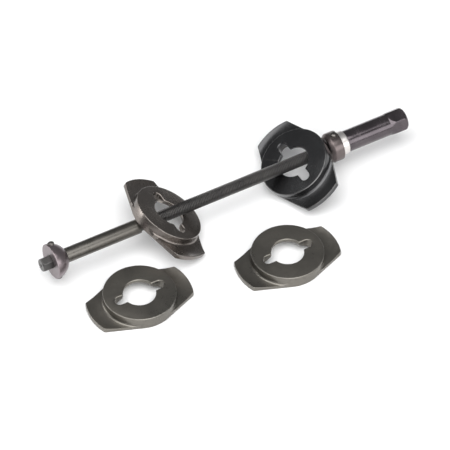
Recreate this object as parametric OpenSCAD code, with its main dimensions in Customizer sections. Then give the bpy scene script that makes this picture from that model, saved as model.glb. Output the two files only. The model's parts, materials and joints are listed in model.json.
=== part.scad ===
// Coil spring compressor: a spindle with two winged plates, and two spare plates on the floor beside it.
// +X runs along the spindle towards the drive hex, +Z is up, and the floor is Z = 0.
// Stations along the spindle are counted from the outer flat face of the fixed collar.

/* [Plates] */
// Radius of the raised boss that centres the coil
boss_r = 51; // [49:0.5:53]
// Radius of the outer arc of the two wings
wing_r = 75; // [73:0.5:78]
// Half of the angle that a wing's outer arc spans
wing_half_angle = 21.7; // [20:0.1:24]
// Thickness from the underside to the boss face
plate_h = 18; // [17:0.5:19]
// Height of the coil seat at its deepest
seat_h = 5.1; // [4.5:0.1:6]
// Radius of the circle that hollows the coil seat
seat_hollow_r = 46; // [42:1:60]
// Radius at which the coil seat is deepest
seat_low_r = 60; // [58:0.5:62]
// Fillet between the coil seat and the boss wall
cove_r = 3.5; // [3:0.25:4]
// Bevel round the boss face and the hole
edge = 1; // [0.5:0.25:1.25]
// Radius of the central hole
hole_r = 23; // [22.5:0.25:23.5]
// Length of the straight wall in the central hole
throat_len = 3; // [2.5:0.25:3]
// Depth of the spherical land below the straight wall
land_len = 3; // [2:0.25:3]
// Radius of the dish where it opens in the underside
dish_r = 45; // [45:0.25:46]
// Distance from the hole's centre to the far end of a pin slot
slot_reach = 38; // [35:0.5:40]
// Width of a pin slot
slot_w = 14; // [12:0.5:15]

/* [Spindle] */
// Diameter of the smooth shank
shank_d = 21; // [20:0.5:22]
// Station where the shank steps down to the thread
shank_end = 138.5; // [136:0.5:139]
// Major diameter of the threaded rod
thread_d = 18; // [17:0.5:18]
// Station of the rod's free end, inside the drive nut
rod_end = 503; // [490:1:503]
// Hexagon across its flats at the fixed end, inside the shank's own round
stub_af = 18; // [17:0.5:18]
// Length of the fixed end's hexagon
stub_len = 15; // [12:1:18]

/* [Collars] */
// Radius of the ball that bears on a plate
ball_r = 25.5; // [25:0.25:25.5]
// Outer radius of the travelling collar
travel_collar_r = 21.6; // [21:0.1:22.5]
// Length of the travelling collar
travel_collar_len = 18.5; // [17:0.5:18.5]
// Diameter of the pins that key a collar to a plate
pin_d = 9.5; // [8:0.5:10]
// Distance from a collar's flat face to its pins
pin_inset = 6.5; // [6:0.5:8]
// How far a pin stands out of its collar
pin_proud = 3.8; // [3:0.2:4.4]
// Turn of the fixed collar's pin about the spindle, up from +Y
fixed_pin_turn = 64; // [0:1:180]
// Turn of the travelling collar's pins about the spindle, up from +Y
travel_pin_turn = 86; // [0:1:180]

/* [Thrust bearing] */
// Outer radius of the bearing's band
band_r = 17; // [16.5:0.1:17.5]
// Wall of the band
band_wall = 0.6; // [0.5:0.1:0.8]
// Bearing from face to face
bearing_len = 11; // [10:0.5:11]
// Bore radius of both washers
washer_bore_r = 10; // [9.6:0.1:10.5]
// Thickness of a washer
washer_h = 3.4; // [3:0.1:3.5]
// Radius of a ball in the bearing
bearing_ball_r = 2.35; // [2:0.05:2.4]
// Number of balls in the bearing
bearing_balls_n = 14; // [10:1:15]

/* [Drive nut] */
// Outer diameter of the tube
nut_d = 31; // [30:0.5:32]
// Length of the tube from the bearing to the hexagon
nut_tube_len = 69; // [60:1:75]
// Length of the hexagon
nut_hex_len = 27; // [24:1:30]
// Hexagon across its flats, round the tube's whole section
nut_hex_af = 32; // [32:0.5:34]
// How much the turned outside takes off the hexagon's corners
corner_cut = 0.4; // [0.2:0.1:0.8]
// Length of the internal thread at the bearing end
nut_thread_len = 36; // [30:1:40]
// Bore radius behind the internal thread
nut_bore_r = 10.2; // [10:0.1:10.6]

/* [Layout] */
// Turn of both hexagons about the spindle, from a corner on +Y
hex_turn = 14; // [0:1:59]
// Station of the left plate's crossing with the spindle
left_plate_x = 184.6; // [183:0.2:215]
// Station of the right plate's crossing with the spindle
right_plate_x = 386.5; // [340:0.5:387]
// Station of the travelling collar's flat face
carriage_x = 457; // [457:1:470]
// Slumped plate's angle from lying flat
lean = 31; // [31:0.5:34]
// Left plate's roll about the spindle, its back wing up
left_roll = 7.5; // [6:0.5:9]
// Left plate's turn about its own axis, its back wing away from the nut
left_spin = 3; // [0:0.5:6]
// Spare plate A's station
spare_a_x = 88.4; // [85:0.2:92]
// Spare plate A's distance in front of the spindle
spare_a_y = 92.5; // [92:0.5:110]
// Spare plate B's station
spare_b_x = 304; // [300:1:310]
// Spare plate B's distance in front of the spindle
spare_b_y = 125.6; // [125:0.2:140]

/* [Hidden] */
$fn = 96;

past = 1;
slip = 0.4;
thread_play = 0.05;
pin_play = 0.02;
groove_play = 0.1;
clear_gap = 0.3;

nut_x = carriage_x + bearing_len;
nut_len = nut_tube_len + nut_hex_len;
nut_end = nut_x + nut_len;

// Both plates hang on the rod by their holes, and the left one stands on the rim of its underside
crossing_depth = 3.41;
crossing_h = plate_h - crossing_depth;
rim_drop = norm([sin(lean) * cos(left_roll), sin(left_roll)]);
axis_z = boss_r * rim_drop + crossing_h * cos(lean) * cos(left_roll);

mid_x = (nut_end - stub_len) / 2;
mid_y = (wing_r - spare_b_y - boss_r) / 2;

// A wing's straight edge runs from its corner to a point just inside the boss wall
root_r = boss_r - edge;
root_angle = wing_half_angle + acos(root_r / wing_r);
wing_root = root_r * [sin(root_angle), cos(root_angle)];
wing_corner = wing_r * [sin(wing_half_angle), cos(wing_half_angle)];
wing_beyond = wing_corner + 0.1 * (wing_corner - wing_root);

land_ball_r = ball_r + clear_gap;
land_centre_z = plate_h - edge - throat_len - sqrt(land_ball_r ^ 2 - hole_r ^ 2);
land_low_z = plate_h - edge - throat_len - land_len;
land_low_r = sqrt(land_ball_r ^ 2 - (land_low_z - land_centre_z) ^ 2);
dish_slope = (dish_r - land_low_r) / land_low_z;

race_r = (washer_bore_r + band_r - band_wall) / 2;

// Moves a shape built about the X axis onto the spindle
module on_axis(x = 0) {
    translate([x - mid_x, -mid_y, axis_z]) children();
}

// A solid turned about the X axis, from a profile of [radius, length]
module turned() {
    rotate([90, 0, 90]) rotate_extrude() children();
}

module ring(outer_r, inner_r, length) {
    turned() translate([inner_r, 0]) square([outer_r - inner_r, length]);
}

module hexagon(af, length, turn) {
    rotate([turn, 0, 0]) rotate([90, 0, 90]) linear_extrude(length) circle(r = af / sqrt(3), $fn = 6);
}

module wing_outline() {
    intersection() {
        circle(r = wing_r);
        polygon([
            wing_root, wing_beyond,
            [-wing_beyond[0], wing_beyond[1]], [-wing_root[0], wing_root[1]]
        ]);
    }
}

// Section of a wing, with its hollowed coil seat and the fillet at the boss wall
module wing_section() {
    difference() {
        translate([root_r / 2, 0]) square([wing_r + past - root_r / 2, plate_h - 2 * edge]);
        translate([seat_low_r, seat_h + seat_hollow_r]) circle(r = seat_hollow_r);
        translate([boss_r + cove_r, seat_h + cove_r]) circle(r = cove_r);
        translate([boss_r, seat_h + cove_r]) square(plate_h);
        translate([seat_low_r, seat_h + cove_r]) square([wing_r, plate_h]);
    }
}

// The hole: bevel, straight wall, spherical land and open dish
module hole() {
    translate([0, 0, land_low_z]) cylinder(r = hole_r, h = plate_h);
    translate([0, 0, plate_h - edge])
        cylinder(r1 = hole_r, r2 = hole_r + edge + past, h = edge + past);
    translate([0, 0, land_centre_z]) sphere(r = land_ball_r);
    translate([0, 0, -past])
        cylinder(r1 = dish_r + past * dish_slope, r2 = land_low_r, h = land_low_z + past);
}

module pin_slot() {
    end_y = slot_reach - slot_w / 2;
    translate([0, end_y, -past]) cylinder(d = slot_w, h = plate_h + 2 * past);
    translate([-slot_w / 2, 0, -past]) cube([slot_w, end_y, plate_h + 2 * past]);
}

module wing() {
    intersection() {
        rotate_extrude() wing_section();
        linear_extrude(plate_h) wing_outline();
    }
}

// A winged plate lying boss up, wings along Y, hole on the Z axis
module plate() {
    difference() {
        union() {
            cylinder(r = boss_r, h = plate_h - edge);
            translate([0, 0, plate_h - edge]) cylinder(r1 = boss_r, r2 = boss_r - edge, h = edge);
            wing();
            rotate([0, 0, 180]) wing();
        }
        hole();
        pin_slot();
        mirror([0, 1, 0]) pin_slot();
    }
}

module slumped_plate(x, turn, roll = 0, spin = 0) {
    on_axis(x) rotate([roll, 0, 0]) rotate([0, turn, 0]) translate([0, 0, -crossing_h])
        rotate([0, 0, spin]) plate();
}

module spare_plate(x, y) {
    translate([x - mid_x, -y - mid_y, 0]) rotate([0, 0, 90]) plate();
}

// A ball cut flat at the origin, its dome towards +X
module ball_collar(outer_r, bore_r, length) {
    turned() intersection() {
        circle(r = ball_r);
        translate([bore_r, 0]) square([outer_r - bore_r, length]);
    }
}

// A pin across the X axis, from one radius to another
module radial_pin(turn, from_r, to_r, d) {
    rotate([turn - 90, 0, 0]) translate([0, 0, from_r]) cylinder(d = d, h = to_r - from_r);
}

module spindle() {
    color("dimgray") on_axis() difference() {
        union() {
            translate([-stub_len, 0, 0]) hexagon(stub_af, stub_len + past, hex_turn);
            turned() polygon([
                [0, 0], [shank_d / 2, 0], [shank_d / 2, shank_end - edge], [thread_d / 2, shank_end],
                [thread_d / 2, rod_end - edge], [thread_d / 2 - edge, rod_end], [0, rod_end]
            ]);
        }
        translate([pin_inset, 0, 0]) radial_pin(fixed_pin_turn, -shank_d, shank_d, pin_d);
    }
}

module fixed_collar() {
    color("rosybrown") on_axis() difference() {
        ball_collar(ball_r, shank_d / 2, ball_r);
        translate([pin_inset, 0, 0]) radial_pin(fixed_pin_turn, -2 * ball_r, 2 * ball_r, pin_d);
    }
}

module fixed_cross_pin() {
    end_r = ball_r + pin_proud - edge;
    color("slategray") on_axis(pin_inset)
        radial_pin(fixed_pin_turn, -end_r, end_r, pin_d - 2 * pin_play);
}

module travelling_collar() {
    color("rosybrown") on_axis(carriage_x) difference() {
        mirror([1, 0, 0]) ball_collar(travel_collar_r, thread_d / 2 + slip, travel_collar_len);
        translate([-pin_inset, 0, 0])
            radial_pin(travel_pin_turn, -2 * ball_r, 2 * ball_r, pin_d);
    }
}

module key_pin(turn) {
    on_axis(carriage_x - pin_inset)
        radial_pin(turn, thread_d / 2 + 2 * slip, travel_collar_r + pin_proud, pin_d - 2 * pin_play);
}

module key_pin_upper() {
    color("slategray") key_pin(travel_pin_turn);
}

module key_pin_lower() {
    color("slategray") key_pin(travel_pin_turn + 180);
}

module race(x) {
    translate([x, 0, 0]) turned() translate([race_r, 0]) circle(r = bearing_ball_r + groove_play);
}

module housing_washer() {
    color("silver") on_axis(carriage_x) difference() {
        ring(band_r - band_wall, washer_bore_r, washer_h);
        race(bearing_len / 2);
    }
}

module shaft_washer() {
    color("silver") on_axis(nut_x) difference() {
        mirror([1, 0, 0]) ring(band_r - band_wall - clear_gap, washer_bore_r, washer_h);
        race(-bearing_len / 2);
    }
}

module bearing_band() {
    color("gainsboro") on_axis(carriage_x) ring(band_r, band_r - band_wall, bearing_len - clear_gap);
}

// One copy of a shape at each ball of the bearing
module at_each_ball() {
    for (i = [0 : bearing_balls_n - 1])
        rotate([i * 360 / bearing_balls_n, 0, 0]) translate([0, 0, race_r]) children();
}

module bearing_cage() {
    cage_len = bearing_len - 2 * washer_h - 2 * clear_gap;
    color("darkgoldenrod") on_axis(carriage_x + bearing_len / 2) difference() {
        translate([-cage_len / 2, 0, 0])
            ring(band_r - band_wall - clear_gap, washer_bore_r + clear_gap, cage_len);
        at_each_ball() rotate([0, 90, 0])
            cylinder(r = bearing_ball_r + thread_play, h = bearing_len, center = true);
    }
}

module bearing_balls() {
    color("white") on_axis(carriage_x + bearing_len / 2) at_each_ball() sphere(r = bearing_ball_r);
}

module drive_nut() {
    corner_r = nut_hex_af / sqrt(3) - corner_cut;
    shoulder = 7;
    end_bevel = 5;
    color("darkslategray") on_axis(nut_x) difference() {
        intersection() {
            translate([-past, 0, 0]) hexagon(nut_hex_af, nut_len + 2 * past, hex_turn);
            turned() polygon([
                [0, 0], [nut_d / 2, 0], [nut_d / 2, nut_tube_len],
                [corner_r, nut_tube_len + shoulder], [corner_r, nut_len - end_bevel],
                [corner_r - 0.6 * end_bevel, nut_len], [0, nut_len]
            ]);
        }
        translate([-past, 0, 0]) turned() polygon([
            [0, 0], [thread_d / 2 + thread_play, 0], [thread_d / 2 + thread_play, nut_thread_len + past],
            [nut_bore_r, nut_thread_len + past], [nut_bore_r, nut_len + 2 * past], [0, nut_len + 2 * past]
        ]);
    }
}

module left_plate() {
    color("#5f5953") slumped_plate(left_plate_x, lean, left_roll, left_spin);
}

module right_plate() {
    color("#3c3e3f") slumped_plate(right_plate_x, -lean);
}

module spare_plate_a() {
    color("#4d4a45") spare_plate(spare_a_x, spare_a_y);
}

module spare_plate_b() {
    color("#4d4a45") spare_plate(spare_b_x, spare_b_y);
}

spindle();
fixed_collar();
fixed_cross_pin();
left_plate();
right_plate();
travelling_collar();
key_pin_upper();
key_pin_lower();
housing_washer();
bearing_band();
bearing_cage();
bearing_balls();
shaft_washer();
drive_nut();
spare_plate_a();
spare_plate_b();
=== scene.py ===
"""Coil spring compressor: the looks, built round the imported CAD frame."""

import json
import math

import bmesh
import bpy
from mathutils import Matrix, Vector


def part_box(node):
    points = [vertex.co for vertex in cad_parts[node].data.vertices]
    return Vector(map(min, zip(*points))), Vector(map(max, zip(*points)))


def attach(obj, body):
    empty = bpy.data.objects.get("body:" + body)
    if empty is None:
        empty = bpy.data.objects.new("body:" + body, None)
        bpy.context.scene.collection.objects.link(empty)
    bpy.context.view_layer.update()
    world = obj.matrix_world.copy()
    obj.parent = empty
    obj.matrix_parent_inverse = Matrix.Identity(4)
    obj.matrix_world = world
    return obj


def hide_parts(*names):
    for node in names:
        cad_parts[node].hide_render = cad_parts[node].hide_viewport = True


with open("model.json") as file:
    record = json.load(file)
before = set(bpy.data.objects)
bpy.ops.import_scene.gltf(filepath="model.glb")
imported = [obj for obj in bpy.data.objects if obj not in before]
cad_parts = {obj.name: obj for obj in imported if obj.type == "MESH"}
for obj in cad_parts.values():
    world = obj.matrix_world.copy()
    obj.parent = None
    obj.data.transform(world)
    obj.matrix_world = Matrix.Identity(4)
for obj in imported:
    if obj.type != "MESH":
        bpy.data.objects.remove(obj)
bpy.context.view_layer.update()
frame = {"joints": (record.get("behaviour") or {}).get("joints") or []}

MM = 0.001

# ---------------------------------------------------------------- places taken from the frame

collar_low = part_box("fixed_collar")[0]
spindle_low, spindle_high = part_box("spindle")
nut_low, nut_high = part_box("drive_nut")
travel_low, travel_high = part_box("travelling_collar")
band_low, band_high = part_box("bearing_band")
washer_low, washer_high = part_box("housing_washer")
joints = {joint["name"]: joint for joint in frame["joints"]}
AXIS = Vector(joints["nut_turn"]["pos_m"])
START_X = collar_low.x / MM


def station(x_m):
    """A place along X, in millimetres from the fixed collar's flat face."""
    return x_m / MM - START_X


# ---------------------------------------------------------------- mesh helpers

MERGE = 2e-6
TINY = 1e-6


def blend_max(a, b, k):
    """The larger of two values, rounded over where they are within k of each other."""
    h = max(0.0, k - abs(a - b)) / k
    return max(a, b) + h * h * k / 4


def blend_min(a, b, k):
    """The smaller of two values, rounded over in the same way."""
    return -blend_max(-a, -b, k)


def steps_of(*spans):
    """Evenly spaced values over (start, end, count) spans that follow one another."""
    return [a + (b - a) * k / n for a, b, n in spans for k in range(n)] + [spans[-1][1]]


def rounded_corner(before, here, after, radius, steps):
    """A corner turned into a curve, which reaches at most about halfway to the corners beside it."""
    d1 = before - here
    d2 = after - here
    if min(d1.length, d2.length) < TINY:
        return [tuple(here)] * (steps + 1)
    reach = radius / max(math.tan(d1.angle(d2) / 2), 1e-3)
    reach = min(reach, d1.length * 0.48, d2.length * 0.48)
    p1 = here + d1.normalized() * reach
    p2 = here + d2.normalized() * reach
    out = []
    for step in range(steps + 1):
        t = step / steps
        out.append(tuple(p1 * (1 - t) ** 2 + here * 2 * t * (1 - t) + p2 * t**2))
    return out


def fillet(corners, closed=True, steps=4):
    """The points of a profile of (a, b, rounding) corners. The ends of an open one stay sharp."""
    out = []
    last = len(corners) - 1
    for i, (a, b, radius) in enumerate(corners):
        is_end = not closed and i in (0, last)
        if is_end or radius <= 0:
            out.append((a, b))
            continue
        before = Vector(corners[i - 1][:2])
        after = Vector(corners[(i + 1) % len(corners)][:2])
        out += rounded_corner(before, Vector((a, b)), after, radius, steps)
    return out


def finish_mesh(name, bm):
    """Cleans a mesh in the making and links it as an object."""
    bmesh.ops.remove_doubles(bm, verts=bm.verts, dist=MERGE)
    bmesh.ops.dissolve_degenerate(bm, edges=bm.edges, dist=MERGE)
    bmesh.ops.recalc_face_normals(bm, faces=bm.faces)
    mesh = bpy.data.meshes.new(name)
    bm.to_mesh(mesh)
    bm.free()
    obj = bpy.data.objects.new(name, mesh)
    bpy.context.scene.collection.objects.link(obj)
    return obj


def grid_object(name, rows, closed=False, shift=0):
    """Quads over closed rows of points, in millimetres. A row's end joins its start, shift rows on."""
    bm = bmesh.new()
    verts = [[bm.verts.new(Vector(point) * MM) for point in row] for row in rows]
    n = len(rows)
    m = len(rows[0])
    for i in range(n if closed else n - 1):
        for j in range(m):
            ahead = shift if j == m - 1 else 0
            if not closed and i + 1 + ahead >= n:
                continue
            near = verts[(i + ahead) % n][(j + 1) % m]
            far = verts[(i + 1 + ahead) % n][(j + 1) % m]
            bm.faces.new((verts[i][j], near, far, verts[(i + 1) % n][j]))
    return finish_mesh(name, bm)


def shade(obj, sharp):
    """Smooth shading, with edges over the sharp angle left crisp."""
    for polygon in obj.data.polygons:
        polygon.use_smooth = True
    bm = bmesh.new()
    bm.from_mesh(obj.data)
    for edge in bm.edges:
        if len(edge.link_faces) == 2 and edge.calc_face_angle(0) > math.radians(sharp):
            edge.smooth = False
    bm.to_mesh(obj.data)
    bm.free()


def cut(obj, cutter):
    """Takes the cutter away from a mesh, and removes the cutter."""
    modifier = obj.modifiers.new("cut", "BOOLEAN")
    modifier.operation = "DIFFERENCE"
    modifier.solver = "EXACT"
    modifier.object = cutter
    graph = bpy.context.evaluated_depsgraph_get()
    mesh = bpy.data.meshes.new_from_object(obj.evaluated_get(graph))
    obj.modifiers.clear()
    obj.data = mesh
    bpy.data.objects.remove(cutter)
    return obj


def ring(x, r, segments):
    """A circle of points about the X axis."""
    turns = [math.tau * k / segments for k in range(segments)]
    return [(x, r * math.cos(a), r * math.sin(a)) for a in turns]


def on_axis(obj, x_mm=0.0):
    """Moves a mesh built about the X axis onto the spindle, with its origin at a station."""
    obj.data.transform(Matrix.Translation((START_X * MM + x_mm * MM, AXIS.y, AXIS.z)))
    return obj


def turned(name, corners, x_mm=0.0, closed=True, segments=96):
    """A solid of revolution about the spindle, from (x, radius, rounding) corners."""
    rows = [ring(x, r, segments) for x, r in fillet(corners, closed)]
    return on_axis(grid_object(name, rows, closed), x_mm)


# ---------------------------------------------------------------- shader nodes

MIX_COLOUR_A = 6
MIX_COLOUR_B = 7
MIX_COLOUR_OUT = 2


def object_place(tree, stretch):
    """Coordinates in the object's own space, scaled along each axis."""
    place = tree.nodes.new("ShaderNodeTexCoord")
    mapping = tree.nodes.new("ShaderNodeMapping")
    mapping.inputs["Scale"].default_value = stretch
    tree.links.new(place.outputs["Object"], mapping.inputs["Vector"])
    return mapping.outputs["Vector"]


def noise(tree, place, scale, detail, roughness=0.55):
    """Noise over a set of coordinates."""
    node = tree.nodes.new("ShaderNodeTexNoise")
    node.inputs["Scale"].default_value = scale
    node.inputs["Detail"].default_value = detail
    node.inputs["Roughness"].default_value = roughness
    tree.links.new(place, node.inputs["Vector"])
    return node.outputs["Fac"]


def spread(tree, source, low, high, out_low, out_high):
    """Maps a value's range, low to high, onto another one."""
    node = tree.nodes.new("ShaderNodeMapRange")
    limits = {"From Min": low, "From Max": high, "To Min": out_low, "To Max": out_high}
    for socket, value in limits.items():
        node.inputs[socket].default_value = value
    tree.links.new(source, node.inputs["Value"])
    return node.outputs["Result"]


def combine(tree, operation, a, b):
    """Two values added or multiplied."""
    node = tree.nodes.new("ShaderNodeMath")
    node.operation = operation
    tree.links.new(a, node.inputs[0])
    tree.links.new(b, node.inputs[1])
    return node.outputs[0]


def mix(tree, factor, a, b):
    """Colour a, turning into b as the factor rises. Each is a plain colour or a node's output."""
    node = tree.nodes.new("ShaderNodeMix")
    node.data_type = "RGBA"
    tree.links.new(factor, node.inputs["Factor"])
    for socket, value in ((MIX_COLOUR_A, a), (MIX_COLOUR_B, b)):
        if isinstance(value, bpy.types.NodeSocket):
            tree.links.new(value, node.inputs[socket])
        else:
            node.inputs[socket].default_value = (*value, 1)
    return node.outputs[MIX_COLOUR_OUT]


def bump(tree, height, strength, distance, under=None):
    """A surface relief, over another one if one is given."""
    node = tree.nodes.new("ShaderNodeBump")
    node.inputs["Strength"].default_value = strength
    node.inputs["Distance"].default_value = distance
    tree.links.new(height, node.inputs["Height"])
    if under:
        tree.links.new(under, node.inputs["Normal"])
    return node.outputs["Normal"]


# ---------------------------------------------------------------- materials

METALLIC = 0.9
COAT_ROUGHNESS = 0.18
WEAR_AND_HIGHLIGHT_SPAN = 0.085
FINE_RELIEF = 0.0004
BROAD_RELIEF = 0.0012


def edge_wear_and_highlight(tree, speck, wear_and_highlight_from, wear_and_highlight_amount):
    """How much bright colour goes on: wear together with painted highlights, most on convex edges, and
    in patches.
    """
    point = tree.nodes.new("ShaderNodeNewGeometry").outputs["Pointiness"]
    edge = spread(tree, point, wear_and_highlight_from, wear_and_highlight_from + WEAR_AND_HIGHLIGHT_SPAN, 0, 1)
    patches = spread(tree, speck, 0.35, 0.6, 0.25, 1)
    return spread(tree, combine(tree, "MULTIPLY", edge, patches), 0, 1, 0, wear_and_highlight_amount)


def steel(name, base, tint, rough, grain=900, mottle=18, wear_and_highlight=(0.55, 0.53, 0.5), wear_and_highlight_amount=0.5,
          wear_and_highlight_from=0.515, relief=0.12, specks=0.55, stretch=(1, 1, 1), coat=0.0):
    """Oxidised or worked steel: mottled colour, bright edges that are partly wear and partly painted
    highlight, uneven gloss and a fine surface.
    """
    mat = bpy.data.materials.new(name)
    mat.use_nodes = True
    tree = mat.node_tree
    shader = tree.nodes["Principled BSDF"]
    shader.inputs["Metallic"].default_value = METALLIC
    shader.inputs["Coat Weight"].default_value = coat
    shader.inputs["Coat Roughness"].default_value = COAT_ROUGHNESS

    place = object_place(tree, stretch)
    cloud = noise(tree, place, mottle, 5)
    speck = noise(tree, place, mottle * 9, 4, 0.6)
    fine = noise(tree, place, grain, 3)

    darker = [channel * 0.8 for channel in base]
    colour = mix(tree, spread(tree, cloud, 0.35, 0.68, 0, 1), base, tint)
    colour = mix(tree, spread(tree, speck, 0.56, 0.74, 0, specks), colour, darker)
    # The bright colour on convex edges is partly wear and partly a painted highlight along the edges.
    colour = mix(tree, edge_wear_and_highlight(tree, speck, wear_and_highlight_from, wear_and_highlight_amount), colour, wear_and_highlight)
    tree.links.new(colour, shader.inputs["Base Color"])

    speck_gloss = spread(tree, speck, 0.3, 0.7, rough * 0.82, rough * 1.12)
    cloud_gloss = spread(tree, cloud, 0.3, 0.7, -0.05, 0.06)
    gloss = combine(tree, "ADD", speck_gloss, cloud_gloss)
    tree.links.new(gloss, shader.inputs["Roughness"])

    fine_normal = bump(tree, fine, relief, FINE_RELIEF)
    normal = bump(tree, speck, relief * 0.8, BROAD_RELIEF, fine_normal)
    tree.links.new(normal, shader.inputs["Normal"])
    return mat


SMOOTH = {
    "stretch": (3, 1, 1), "grain": 400, "specks": 0.2, "relief": 0.006,
    "wear_and_highlight_amount": 0.25, "wear_and_highlight_from": 0.54,
}
COLLAR = {"mottle": 30, "grain": 400, "specks": 0.3, "relief": 0.02}
SMALL = {"grain": 400, "relief": 0.02}

MATERIALS = {
    "spare": steel("forged_dark", (0.15, 0.142, 0.127), (0.19, 0.177, 0.156), 0.34, relief=0.1),
    "left": steel("forged_brown", (0.135, 0.119, 0.108), (0.175, 0.153, 0.139), 0.25,
                  relief=0.05, coat=0.3),
    "right": steel("forged_black", (0.05, 0.05, 0.052), (0.07, 0.07, 0.072), 0.22,
                   relief=0.04, coat=0.4),
    "shank": steel("shank_steel", (0.098, 0.092, 0.082), (0.118, 0.11, 0.099), 0.33, **SMOOTH),
    "thread": steel("thread_steel", (0.085, 0.083, 0.082), (0.11, 0.106, 0.103), 0.34,
                    wear_and_highlight=(0.34, 0.33, 0.32), **SMOOTH),
    "collar": steel("collar_steel", (0.19, 0.158, 0.165), (0.25, 0.215, 0.228), 0.34, **COLLAR),
    "travel": steel("travelling_collar_steel", (0.115, 0.095, 0.093), (0.155, 0.13, 0.127), 0.3,
                    **COLLAR),
    "pin": steel("pin_steel", (0.12, 0.11, 0.105), (0.16, 0.15, 0.14), 0.34, mottle=60, **SMALL),
    "band": steel("band_steel", (0.66, 0.63, 0.61), (0.74, 0.71, 0.69), 0.38,
                  wear_and_highlight=(0.78, 0.75, 0.73), **SMOOTH),
    "race": steel("race_steel", (0.6, 0.6, 0.61), (0.68, 0.68, 0.68), 0.2, **SMOOTH),
    "cage": steel("cage_brass", (0.62, 0.46, 0.2), (0.7, 0.54, 0.27), 0.35, mottle=40, **SMALL),
    "nut": steel("nut_steel", (0.088, 0.076, 0.083), (0.12, 0.104, 0.112), 0.24,
                 coat=0.12, **SMOOTH),
}


def finish_piece(obj, body, material, slot, *nodes, sharp=40):
    """Gives a finished mesh its shading, material and body, and hides the CAD nodes it stands for."""
    shade(obj, sharp)
    obj.data.materials.clear()
    obj.data.materials.append(MATERIALS[material])
    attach(obj, body)
    if nodes:
        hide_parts(*nodes)


# ---------------------------------------------------------------- winged plates, in millimetres

PLATE_H = 18.0
BOSS_R = 51.0
WING_R = 75.0
WING_HALF = math.radians(21.7)
HOLE_R = 23.0
HOLE_BEVEL = 1.0
SLOT_HALF = 7.0
SLOT_END = 31.0
THROAT_Z = 14.0
LAND_R = 24.29
LAND_Z = 11.0
LAND_BULGE = 0.58
DISH_R = 45.0
DISH_SLOPE = LAND_Z / (DISH_R - LAND_R)
SEAT_LOW_R = 60.0
SEAT_H = 5.1
SEAT_HOLLOW_R = 46.0
SEAT_STEPS = 9
COVE_R = 3.5
COVE_STEPS = 7
LEAN = math.radians(31)
LEFT_ROLL = math.radians(7.5)
LEFT_SPIN = math.radians(3)
CROSSING_H = 14.59

# Angles over a quarter turn from the wings' axis, closer together at the slot and the wing's corner
QUARTER = steps_of((0, 9, 9), (9, 20, 30), (20, 24, 12), (24, 66, 30), (66, 72, 8), (72, 90, 12))


def hole_radius(turn, grow):
    """Radius of the hole and its two pin slots at an angle from the wings' axis, grown all round."""
    half = SLOT_HALF + grow
    if math.tan(turn) <= half / SLOT_END:
        slot = SLOT_END * math.cos(turn) + math.sqrt(half**2 - (SLOT_END * math.sin(turn)) ** 2)
    else:
        slot = half / math.sin(turn)
    return blend_max(HOLE_R + grow, slot, 1.2)


def outer_radius(turn):
    """Radius of the plate's outline at an angle from the wings' axis."""
    touch = WING_HALF + math.acos(BOSS_R / WING_R)
    if turn >= touch:
        return BOSS_R
    return blend_min(BOSS_R / math.cos(touch - turn), WING_R, 1.3)


def seat_z(r):
    """Height of the hollowed coil seat at a radius."""
    return SEAT_H + SEAT_HOLLOW_R - math.sqrt(SEAT_HOLLOW_R**2 - (r - SEAT_LOW_R) ** 2)


def inner_corners(turn):
    """The section's corners from the hole's mouth down its wall, then out over the land and the dish."""
    mouth = hole_radius(turn, HOLE_BEVEL)
    hole = hole_radius(turn, 0)
    low_r = max(hole, LAND_R)
    low_z = DISH_SLOPE * (DISH_R - low_r)
    share = min(1.0, max(0.0, (hole - HOLE_R) / (LAND_R - HOLE_R)))
    wall_z = THROAT_Z + (low_z - THROAT_Z) * share
    bulge_r = hole + (low_r - hole) * LAND_BULGE
    bulge_z = wall_z + (low_z - wall_z) * 0.5
    return [
        (mouth, PLATE_H, 0.5),
        (hole, PLATE_H - HOLE_BEVEL, 0.5),
        (hole, wall_z, 0.3),
        (bulge_r, bulge_z, 0),
        (low_r, low_z, 0.8),
        (DISH_R, 0, 2.0),
    ]


def outer_corners(rim):
    """The section's corners up the outline, then in over the seat and its cove to the boss's top."""
    cove_r = BOSS_R + COVE_R
    cove_z = seat_z(cove_r) + COVE_R
    on_wing = rim > cove_r
    start = math.pi / 2 if on_wing else math.acos(max(0.0, (cove_r - rim) / COVE_R))
    top_z = seat_z(rim) if on_wing else cove_z - COVE_R * math.sin(start)
    corners = [(rim, 0, 0.8), (rim, top_z, max(0.01, min(1.5, 0.5 * (rim - BOSS_R))))]
    for k in range(1, SEAT_STEPS):
        r = rim + (cove_r - rim) * k / SEAT_STEPS
        corners.append((r, seat_z(r), 0) if on_wing else (rim, top_z, 0))
    for k in range(COVE_STEPS + 1):
        a = start * (1 - k / COVE_STEPS)
        corners.append((cove_r - COVE_R * math.cos(a), cove_z - COVE_R * math.sin(a), 0))
    corners.append((BOSS_R, PLATE_H, 1.4))
    return corners


def plate(name):
    """A forged plate lying boss up about the origin, its wings along Y."""
    turns = QUARTER + [180 - a for a in QUARTER[-2::-1]]
    turns += [360 - a for a in turns[-2:0:-1]]
    rows = []
    for turn in turns:
        t = math.radians(turn)
        folded = math.radians(min(turn % 180, 180 - turn % 180))
        section = fillet(inner_corners(folded) + outer_corners(outer_radius(folded)))
        rows.append([(r * math.sin(t), r * math.cos(t), z) for r, z in section])
    return grid_object(name, rows, closed=True)


def slumped(obj, joint, lean, roll=0.0, spin=0.0):
    """Puts a plate on the spindle, leaning, with its crossing at its tilt joint."""
    pivot = Matrix.Translation(joints[joint]["pos_m"])
    down = Matrix.Translation((0, 0, -CROSSING_H * MM))
    pose = Matrix.Rotation(roll, 4, "X") @ Matrix.Rotation(lean, 4, "Y")
    obj.data.transform(pivot @ pose @ down @ Matrix.Rotation(spin, 4, "Z"))
    return obj


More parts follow.
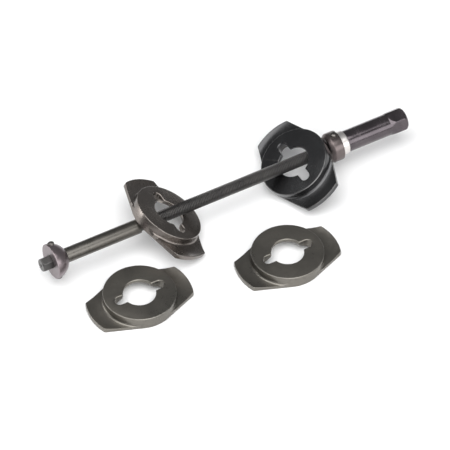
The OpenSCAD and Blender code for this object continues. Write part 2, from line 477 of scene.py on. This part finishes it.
def laid(obj, node):
    """Puts a plate flat on the floor where its CAD node lies, its wings along X."""
    low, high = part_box(node)
    centre = Matrix.Translation(((low.x + high.x) / 2, (low.y + high.y) / 2, 0))
    obj.data.transform(centre @ Matrix.Rotation(math.pi / 2, 4, "Z"))
    return obj


def add_plates():
    """The two plates on the spindle, and the two spare ones."""
    left = slumped(plate("left_plate_forging"), "left_plate_tilt", LEAN, LEFT_ROLL, LEFT_SPIN)
    finish_piece(left, "left_plate", "left", "left_plate_forging", "left_plate")
    right = slumped(plate("right_plate_forging"), "right_plate_tilt", -LEAN)
    finish_piece(right, "right_plate", "right", "right_plate_forging", "right_plate")
    for letter in "ab":
        node = f"spare_plate_{letter}"
        spare = laid(plate(f"{node}_forging"), node)
        finish_piece(spare, node, "spare", "spare_plate_forging", node)


# ---------------------------------------------------------------- spindle, in millimetres

HEX_TURN = math.radians(14)
HEX_SEGMENTS = 240
STUB_AF = 18.0
STUB_END = station(spindle_low.x)
STUB_BEVEL = 1.9
STUB_BEVEL_SLOPE = 0.9
SHANK_R = 10.5
SHANK_END = 138.5
ROD_R = 9.0
ROD_END = station(spindle_high.x)
PITCH = 2.5
THREAD_DEPTH = 1.45
ROOT_R = ROD_R - THREAD_DEPTH
RELIEF_LEN = 3.2
RUN_OUT = 0.8
THREAD_SEGMENTS = 48

# A turn of the thread, from crest to crest: share of the pitch, and share of the depth
THREAD_SHAPE = (
    (0.0, 0.07), (0.03, 0.0), (0.10, 0.0), (0.13, 0.07),
    (0.43, 0.93), (0.47, 1.0), (0.64, 1.0), (0.68, 0.93),
)


def hex_radius(angle, across_flats):
    """Radius of a hexagon at an angle from +Y."""
    from_flat = (angle - HEX_TURN) % (math.pi / 3) - math.pi / 6
    return across_flats / 2 / math.cos(from_flat)


def hex_ring(x, outside, across_flats):
    """A hexagon's cross-section at a station, cut back to its turned outside."""
    row = []
    for k in range(HEX_SEGMENTS):
        a = math.tau * k / HEX_SEGMENTS
        r = blend_min(hex_radius(a, across_flats), outside, 0.5)
        row.append((x, r * math.cos(a), r * math.sin(a)))
    return row


def hex_turned(name, stations, profile, across_flats, bore, x_mm=0.0, closed=False):
    """A hexagon bar turned to a profile, which gives its radius at a station, then bored."""
    rows = [hex_ring(x, profile(x), across_flats) for x in stations]
    rows += [ring(x, r, HEX_SEGMENTS) for x, r in bore]
    return on_axis(grid_object(name, rows, closed), x_mm)


def stub_profile(x):
    """Turned outside of the stub: a bevel at its end, then its full corners."""
    corner = STUB_AF / math.sqrt(3)
    return min(corner - STUB_BEVEL + STUB_BEVEL_SLOPE * (x - STUB_END), corner)


def thread(name, start, end):
    """The rod's right-hand thread. Its rows follow the helix, so crests and roots are true edges."""
    turns = int((end - start) / PITCH) + 2
    rows = []
    for turn in range(-1, turns):
        for pitch_share, depth_share in THREAD_SHAPE:
            row = []
            for k in range(THREAD_SEGMENTS):
                x = start + (turn + pitch_share + k / THREAD_SEGMENTS) * PITCH
                fade_in = max(0.0, (x - start) / PITCH)
                fade_out = max(0.0, (end - x) / (RUN_OUT * PITCH))
                height = (1 - depth_share) * min(1.0, fade_in, fade_out)
                r = ROD_R - THREAD_DEPTH * (1 - height)
                a = -math.tau * k / THREAD_SEGMENTS
                row.append((min(max(x, start), end), r * math.cos(a), r * math.sin(a)))
            rows.append(row)
    return on_axis(grid_object(name, rows, shift=len(THREAD_SHAPE)))


def add_stub():
    """The holding hexagon, and its end face with a centre hole."""
    stations = steps_of((STUB_END, STUB_END + 2.4, 12), (STUB_END + 2.4, 0.4, 8))
    stub = hex_turned("spindle_stub", stations, stub_profile, STUB_AF, bore=[(0.4, 0.0)])
    finish_piece(stub, "spindle", "thread", "spindle_steel", "spindle", sharp=32)
    face = [
        (STUB_END + 2.0, 0, 0),
        (STUB_END + 2.0, 1.4, 0.2),
        (STUB_END + 0.25, 2.3, 0.3),
        (STUB_END + 0.02, 3.4, 0.2),
        (STUB_END + 0.02, 8.3, 0),
    ]
    end_face = turned("spindle_stub_face", face, closed=False)
    finish_piece(end_face, "spindle", "thread", "spindle_steel")


def add_shank():
    """The smooth shank, with its step down to the thread."""
    profile = [
        (0.3, 0, 0),
        (0.3, SHANK_R, 0),
        (SHANK_END - 1.2, SHANK_R, 0.5),
        (SHANK_END, ROD_R - 0.4, 0.3),
        (SHANK_END + RELIEF_LEN, ROOT_R, 0.6),
        (SHANK_END + RELIEF_LEN, 0, 0),
    ]
    shank = turned("spindle_shank", profile, closed=False)
    finish_piece(shank, "spindle", "shank", "spindle_steel", sharp=50)


def add_rod():
    """The threaded rod, and its bevelled tip with a centre hole."""
    rod = thread("spindle_thread", SHANK_END + 1.5, ROD_END - 0.8)
    finish_piece(rod, "spindle", "thread", "spindle_steel", sharp=80)
    profile = [
        (ROD_END - 2.4, 0, 0),
        (ROD_END - 2.4, ROOT_R, 0),
        (ROD_END - 0.9, ROOT_R, 0.4),
        (ROD_END, 6.4, 0.3),
        (ROD_END, 2.4, 0.2),
        (ROD_END - 2, 1.2, 0),
        (ROD_END - 2, 0, 0),
    ]
    tip = turned("spindle_tip", profile, closed=False, segments=64)
    finish_piece(tip, "spindle", "thread", "spindle_steel")


# ---------------------------------------------------------------- ball collars and their pins

BALL_R = 25.5
BALL_STEPS = 14
PIN_R = 4.73
PIN_HOLE_R = 4.95
PIN_INSET = 6.5
PIN_DOME = 1.6
PIN_SEGMENTS = 48
FIXED_TURN = 64
FIXED_PIN_END = BALL_R + 2.8
TRAVEL_TURN = 86
TRAVEL_X = station(travel_high.x)
TRAVEL_R = (travel_high.y - travel_low.y) / 2 / MM
TRAVEL_LEN = (travel_high.x - travel_low.x) / MM
KEY_PROUD = 3.7


def ball_collar(name, outer, bore, length, x_mm, away):
    """A ball cut flat at its outer face, its dome on the side that away points to, +1 or -1."""
    first = math.acos(min(1.0, outer / BALL_R))
    last = math.asin(length / BALL_R) if length < BALL_R - 1 else math.acos(bore / BALL_R)
    nose_x = BALL_R * math.sin(last)
    nose_r = BALL_R * math.cos(last)
    corners = [(0, bore, 0.6), (0, outer, 1.0)]
    if first > 0.05:
        corners.append((BALL_R * math.sin(first), outer, 0.8))
    for k in range(1, BALL_STEPS):
        a = first + (last - first) * k / BALL_STEPS
        corners.append((BALL_R * math.sin(a), BALL_R * math.cos(a), 0))
    corners.append((nose_x, nose_r, 0.5))
    if nose_r > bore + 0.5:
        corners.append((nose_x, bore, 0.5))
    return turned(name, [(away * x, r, rounding) for x, r, rounding in corners], x_mm)


def radial(obj, turn_deg, x_mm):
    """Turns a mesh built along Z to stand out of the spindle at a station."""
    obj.data.transform(Matrix.Rotation(math.radians(turn_deg - 90), 4, "X"))
    return on_axis(obj, x_mm)


def pin_mesh(name, low, high, radius, low_dome, high_dome):
    """A pin along Z with crowned ends, in millimetres."""
    corners = [
        (low, 0, 0),
        (low + low_dome * 0.18, radius * 0.62, 0.6),
        (low + low_dome, radius, 0.5),
        (high - high_dome, radius, 0.5),
        (high - high_dome * 0.18, radius * 0.62, 0.6),
        (high, 0, 0),
    ]
    rows = []
    for height, r in fillet(corners, closed=False):
        rows.append([(x, y, z) for z, x, y in ring(height, r, PIN_SEGMENTS)])
    return grid_object(name, rows)


def drilled(collar, turn_deg, x_mm):
    """Drills the pins' hole across a collar."""
    reach = 2 * BALL_R
    drill = pin_mesh("drill", -reach, reach, PIN_HOLE_R, 0.1, 0.1)
    return cut(collar, radial(drill, turn_deg, x_mm))


def add_fixed_collar():
    """The collar at the end of the shank, and the pin across it."""
    collar = ball_collar("fixed_ball_collar", BALL_R, SHANK_R + 0.05, BALL_R, 0.0, 1)
    collar = drilled(collar, FIXED_TURN, PIN_INSET)
    finish_piece(collar, "spindle", "collar", "collar_steel", "fixed_collar", sharp=35)
    pin = pin_mesh("fixed_cross_pin_body", -FIXED_PIN_END, FIXED_PIN_END, PIN_R, PIN_DOME, PIN_DOME)
    pin = radial(pin, FIXED_TURN, PIN_INSET)
    finish_piece(pin, "spindle", "pin", "pin_steel", "fixed_cross_pin")


def add_travelling_collar():
    """The collar that the nut drives, and the two key pins in it."""
    pin_x = TRAVEL_X - PIN_INSET
    collar = ball_collar("travelling_ball_collar", TRAVEL_R, ROD_R + 0.4, TRAVEL_LEN, TRAVEL_X, -1)
    collar = drilled(collar, TRAVEL_TURN, pin_x)
    finish_piece(collar, "carriage", "travel", "collar_steel", "travelling_collar", sharp=35)
    for node, turn_deg in (("key_pin_upper", TRAVEL_TURN), ("key_pin_lower", TRAVEL_TURN + 180)):
        pin = pin_mesh(f"{node}_body", ROD_R + 0.8, TRAVEL_R + KEY_PROUD, PIN_R, 0.5, PIN_DOME)
        finish_piece(radial(pin, turn_deg, pin_x), "carriage", "pin", "pin_steel", node)


# ---------------------------------------------------------------- thrust bearing

BAND_R = (band_high.y - band_low.y) / 2 / MM
BAND_LEN = (band_high.x - band_low.x) / MM
BAND_WALL = 0.6
BAND_INNER = BAND_R - BAND_WALL
BEARING_LEN = 11.0
WASHER_H = (washer_high.x - washer_low.x) / MM
WASHER_BORE = 10.0
BALLS = 14
RACE_R = 13.2
BEARING_BALL_R = 2.35
GROOVE_R = BEARING_BALL_R + 0.1
GROOVE_STEPS = 8
POCKET_R = BEARING_BALL_R + 0.05
CAGE_HALF = 1.8
FIT = 0.02
PLAY = 0.3


def washer(name, outer, x_mm, facing):
    """A washer with a ball groove on the side that facing points to."""
    centre = facing * BEARING_LEN / 2
    face = facing * WASHER_H
    half = math.acos((BEARING_LEN / 2 - WASHER_H) / GROOVE_R)
    corners = [(0, WASHER_BORE, 0.4), (0, outer, 0.6), (face, outer, 0.5)]
    for k in range(GROOVE_STEPS + 1):
        a = half - 2 * half * k / GROOVE_STEPS
        corners.append((centre - facing * GROOVE_R * math.cos(a), RACE_R + GROOVE_R * math.sin(a), 0))
    corners.append((face, WASHER_BORE, 0.4))
    return turned(name, corners, x_mm)


def add_washers():
    """The bearing's two washers. The second one turns with the nut."""
    housing = washer("housing_washer_ring", BAND_INNER - FIT, TRAVEL_X, 1)
    finish_piece(housing, "carriage", "race", "bearing_steel", "housing_washer", sharp=35)
    shaft = washer("shaft_washer_ring", BAND_INNER - PLAY, TRAVEL_X + BEARING_LEN, -1)
    finish_piece(shaft, "nut", "race", "bearing_steel", "shaft_washer", sharp=35)


def add_band():
    """The bright band round the bearing."""
    profile = [
        (0.05, BAND_INNER, 0.1),
        (0.05, BAND_R - 0.1, 0.4),
        (1.6, BAND_R, 0.5),
        (BAND_LEN - 1.6, BAND_R, 0.5),
        (BAND_LEN, BAND_R - 0.1, 0.4),
        (BAND_LEN, BAND_INNER, 0.1),
    ]
    band = turned("bearing_band_shell", profile, TRAVEL_X, segments=128)
    finish_piece(band, "carriage", "band", "bearing_band_steel", "bearing_band", sharp=35)


def ball_places():
    """Where each of the bearing's balls sits, as a move from the carriage's face."""
    for i in range(BALLS):
        a = math.tau * i / BALLS
        spot = Vector((BEARING_LEN / 2, -RACE_R * math.sin(a), RACE_R * math.cos(a))) * MM
        yield Matrix.Translation(spot)


def add_balls():
    """All the bearing's balls, in one mesh."""
    bm = bmesh.new()
    for place in ball_places():
        bmesh.ops.create_uvsphere(
            bm, u_segments=20, v_segments=12, radius=BEARING_BALL_R * MM, matrix=place
        )
    balls = on_axis(finish_mesh("bearing_ball_set", bm), TRAVEL_X)
    finish_piece(balls, "cage", "race", "bearing_steel", "bearing_balls", sharp=90)


def add_cage():
    """The ball cage: a ring with a pocket for each ball."""
    inner = WASHER_BORE + PLAY
    outer = BAND_INNER - PLAY
    low = BEARING_LEN / 2 - CAGE_HALF
    high = BEARING_LEN / 2 + CAGE_HALF
    profile = [(low, inner, 0.2), (low, outer, 0.2), (high, outer, 0.2), (high, inner, 0.2)]
    cage = turned("bearing_cage_ring", profile, TRAVEL_X)
    bm = bmesh.new()
    for place in ball_places():
        bmesh.ops.create_cone(
            bm, cap_ends=True, segments=24, radius1=POCKET_R * MM, radius2=POCKET_R * MM,
            depth=6 * MM, matrix=place @ Matrix.Rotation(math.pi / 2, 4, "Y")
        )
    cage = cut(cage, on_axis(finish_mesh("pockets", bm), TRAVEL_X))
    finish_piece(cage, "cage", "cage", "cage_brass", "bearing_cage", sharp=35)


# ---------------------------------------------------------------- drive nut

NUT_X = station(nut_low.x)
NUT_LEN = (nut_high.x - nut_low.x) / MM
NUT_R = 15.5
NUT_AF = 32.0
NUT_CORNER = NUT_AF / math.sqrt(3) - 0.4
NUT_BORE = 10.2
NUT_MOUTH = 1.2
NUT_MOUTH_DROP = 0.9
HEX_START = 69.0
SHOULDER = 7.0
CROWN = 5.2
CROWN_DROP = 3.2
CROWN_POWER = 1.6


def nut_profile(x):
    """Turned outside of the drive nut: tube, sloped shoulder, hexagon and rounded end."""
    if x < NUT_MOUTH:
        return NUT_R - NUT_MOUTH_DROP * (1 - x / NUT_MOUTH) ** 2
    if x < HEX_START:
        return NUT_R
    shoulder = NUT_R + (x - HEX_START) * (NUT_CORNER - NUT_R) / SHOULDER
    rounding = max(0.0, 1 - (NUT_LEN - x) / CROWN) ** CROWN_POWER
    return min(shoulder, NUT_CORNER - CROWN_DROP * rounding)


def add_nut():
    """The tubular drive nut. Its plain bore is close to the rod at first, then wider."""
    stations = steps_of(
        (0, NUT_MOUTH, 5),
        (NUT_MOUTH, HEX_START - 0.5, 8),
        (HEX_START - 0.5, HEX_START + 8, 36),
        (HEX_START + 8, NUT_LEN - 6, 6),
        (NUT_LEN - 6, NUT_LEN, 26),
    )
    bore = [
        (NUT_LEN, NUT_BORE + 1.4),
        (NUT_LEN - 0.3, NUT_BORE + 1.0),
        (NUT_LEN - 1.3, NUT_BORE),
        (37.5, NUT_BORE),
        (36.3, ROD_R + 0.05),
        (1.0, ROD_R + 0.05),
        (0.0, ROD_R + 0.9),
    ]
    nut = hex_turned("drive_nut_body", stations, nut_profile, NUT_AF, bore, NUT_X, closed=True)
    finish_piece(nut, "nut", "nut", "nut_steel", "drive_nut", sharp=50)


# ---------------------------------------------------------------- floor, light and camera

FLOOR_HALF = 12
FLOOR_Z = -0.0003
FLOOR_COLOUR = (0.93, 0.93, 0.93, 1)
SKY_COLOUR = (0.96, 0.98, 1, 1)
SKY_STRENGTH = 0.2

# Name, place, aim, size and power
SOFTBOXES = (
    ("overhead", (-0.6, -0.45, 2.3), (0, 0.1, 0), (3.4, 2.5), 84),
    ("front", (0.1, -2.2, 1.1), (0, 0, 0.03), (3.8, 1.6), 52),
    ("side", (-2.2, 1.7, 0.5), (0, 0, 0.05), (1.4, 0.8), 20),
)

FRAME_WIDTH = 0.6285
LENS = 400.0
SENSOR = 36.0
AZIMUTH = math.radians(29.28)
ELEVATION = math.radians(47)
TARGET = Vector((-0.0135, 0.0258, 0.0))


def aimed(name, data, place, look):
    """A lamp or camera at a place, looking along a direction."""
    obj = bpy.data.objects.new(name, data)
    obj.location = place
    obj.rotation_mode = "QUATERNION"
    obj.rotation_quaternion = look.to_track_quat("-Z", "Y")
    bpy.context.scene.collection.objects.link(obj)
    return obj


def add_floor():
    """A pale floor, just under everything that rests on it."""
    mesh = bpy.data.meshes.new("floor")
    bm = bmesh.new()
    bmesh.ops.create_grid(bm, x_segments=1, y_segments=1, size=FLOOR_HALF)
    bm.to_mesh(mesh)
    bm.free()
    floor = bpy.data.objects.new("floor", mesh)
    floor.location.z = FLOOR_Z
    bpy.context.scene.collection.objects.link(floor)
    mat = bpy.data.materials.new("pale_floor")
    mat.use_nodes = True
    shader = mat.node_tree.nodes["Principled BSDF"]
    shader.inputs["Base Color"].default_value = FLOOR_COLOUR
    shader.inputs["Roughness"].default_value = 0.6
    shader.inputs["Specular IOR Level"].default_value = 0.2
    mesh.materials.append(mat)


def add_light():
    """A dim sky and the softboxes."""
    world = bpy.data.worlds.new("studio")
    bpy.context.scene.world = world
    world.use_nodes = True
    background = world.node_tree.nodes["Background"]
    background.inputs["Color"].default_value = SKY_COLOUR
    background.inputs["Strength"].default_value = SKY_STRENGTH
    for name, place, aim, size, power in SOFTBOXES:
        light = bpy.data.lights.new(name, "AREA")
        light.shape = "RECTANGLE"
        light.size, light.size_y = size
        light.energy = power
        aimed(name, light, place, Vector(aim) - Vector(place))


def add_camera():
    level = math.cos(ELEVATION)
    look = Vector((math.sin(AZIMUTH) * level, math.cos(AZIMUTH) * level, -math.sin(ELEVATION)))
    data = bpy.data.cameras.new("camera")
    data.lens = LENS
    data.sensor_width = SENSOR
    data.clip_end = 50
    place = TARGET - look * FRAME_WIDTH * LENS / SENSOR
    bpy.context.scene.camera = aimed("camera", data, place, look)


# ---------------------------------------------------------------- the whole scene

add_plates()
add_stub()
add_shank()
add_rod()
add_fixed_collar()
add_travelling_collar()
add_washers()
add_band()
add_balls()
add_cage()
add_nut()
add_floor()
add_light()
add_camera()
bpy.context.scene.view_settings.view_transform = "Standard"
